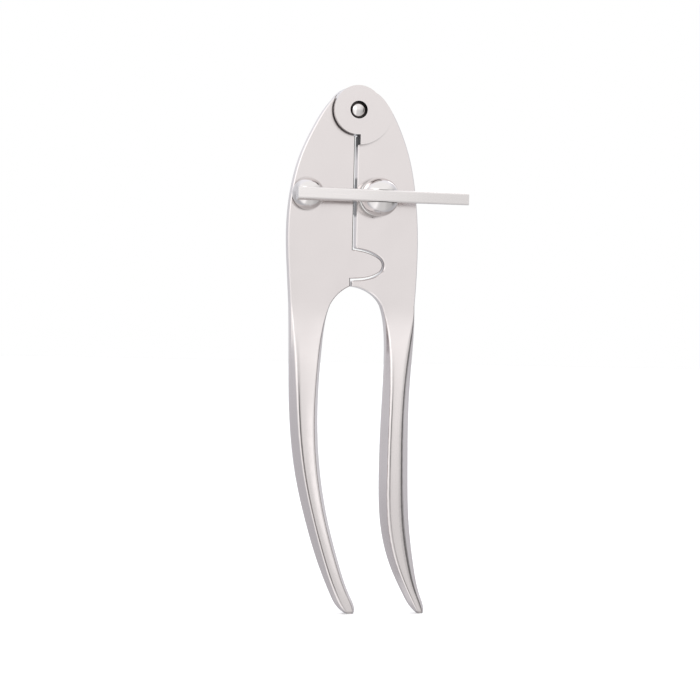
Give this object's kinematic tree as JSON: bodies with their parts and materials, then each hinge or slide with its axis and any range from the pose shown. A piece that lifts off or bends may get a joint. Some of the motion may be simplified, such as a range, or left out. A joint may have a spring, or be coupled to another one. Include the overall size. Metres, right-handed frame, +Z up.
{
  "type": "lever corkscrew",
  "caption": "Pincer-shaped steel lever corkscrew: two hinged levers, a T-bar on a chrome ball turning a rearward worm, and a chrome rest ball.",
  "frame": {"origin": "on the hinge axis of the hub, half way through the thickness of the levers", "axes": "+Z up the tool from the handle tips to the hub, +X towards the right lever seen from the front, -Y out of the front, where the turning bar is; the worm points along +Y"},
  "size_m": [0.0672, 0.0697, 0.2016],
  "materials": {
    "satin_steel": "fine satin",
    "brushed_bar": "brushed lengthwise",
    "polished_chrome": "mirror polish",
    "turned_steel": "fine turned",
    "screw_steel": "machined",
    "spring_steel": "dark satin",
    "bronze": "machined bronze",
    "worm_steel": "polished wire"
  },
  "bodies": {
    "right_frame": {"right_half": "satin_steel", "pivot_pin": "polished_chrome", "pivot_screw": "screw_steel", "hub_washer": "bronze", "stop_pin": "screw_steel", "worm_barrel": "turned_steel", "lock_washer": "spring_steel", "barrel_collar": "turned_steel"},
    "left_lever": {"left_half": "satin_steel", "pivot_bush": "bronze", "rest_ball": "polished_chrome", "rest_ball_seat": "turned_steel", "rest_ball_screw": "screw_steel"},
    "worm_drive": {"ball_hub": "polished_chrome", "cross_bar": "brushed_bar", "hub_grub_screw": "screw_steel", "thrust_washer": "bronze", "worm_spindle": "turned_steel", "spindle_clip": "spring_steel", "worm": "worm_steel"}
  },
  "joints": [
    {"name": "handle_open", "type": "hinge", "parent": "right_frame", "child": "left_lever", "pos_m": [0, 0, 0], "axis": [0, 1, 0], "range_deg": [0, 28]},
    {"name": "bar_turn", "type": "hinge", "parent": "right_frame", "child": "worm_drive", "pos_m": [0.0083, 0, -0.03305], "axis": [0, 1, 0], "continuous": true}
  ]
}
